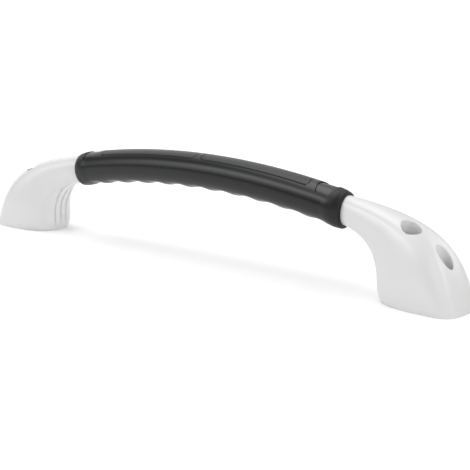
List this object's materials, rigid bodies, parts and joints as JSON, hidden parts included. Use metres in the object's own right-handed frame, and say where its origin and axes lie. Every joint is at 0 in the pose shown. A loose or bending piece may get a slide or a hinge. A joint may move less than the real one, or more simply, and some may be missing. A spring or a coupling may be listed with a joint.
{
  "type": "entry grab handle",
  "caption": "Arched entry grab handle: a white moulded bar with a broad hollow foot at each end and a soft black finger grip, screwed flat to a wall.",
  "frame": {"origin": "on the wall face, midway between the two feet, on the handle's middle line", "axes": "+X along the handle from one foot to the other, +Z away from the wall, +Y across the handle; the grip arches towards +Z"},
  "size_m": [0.4648, 0.0456, 0.0843],
  "materials": {
    "white_moulding": "satin white moulded plastic",
    "soft_grip": "satin black soft-touch moulding"
  },
  "bodies": {
    "root": {"handle_body": "white_moulding", "grip_sleeve": "soft_grip"}
  },
  "joints": []
}
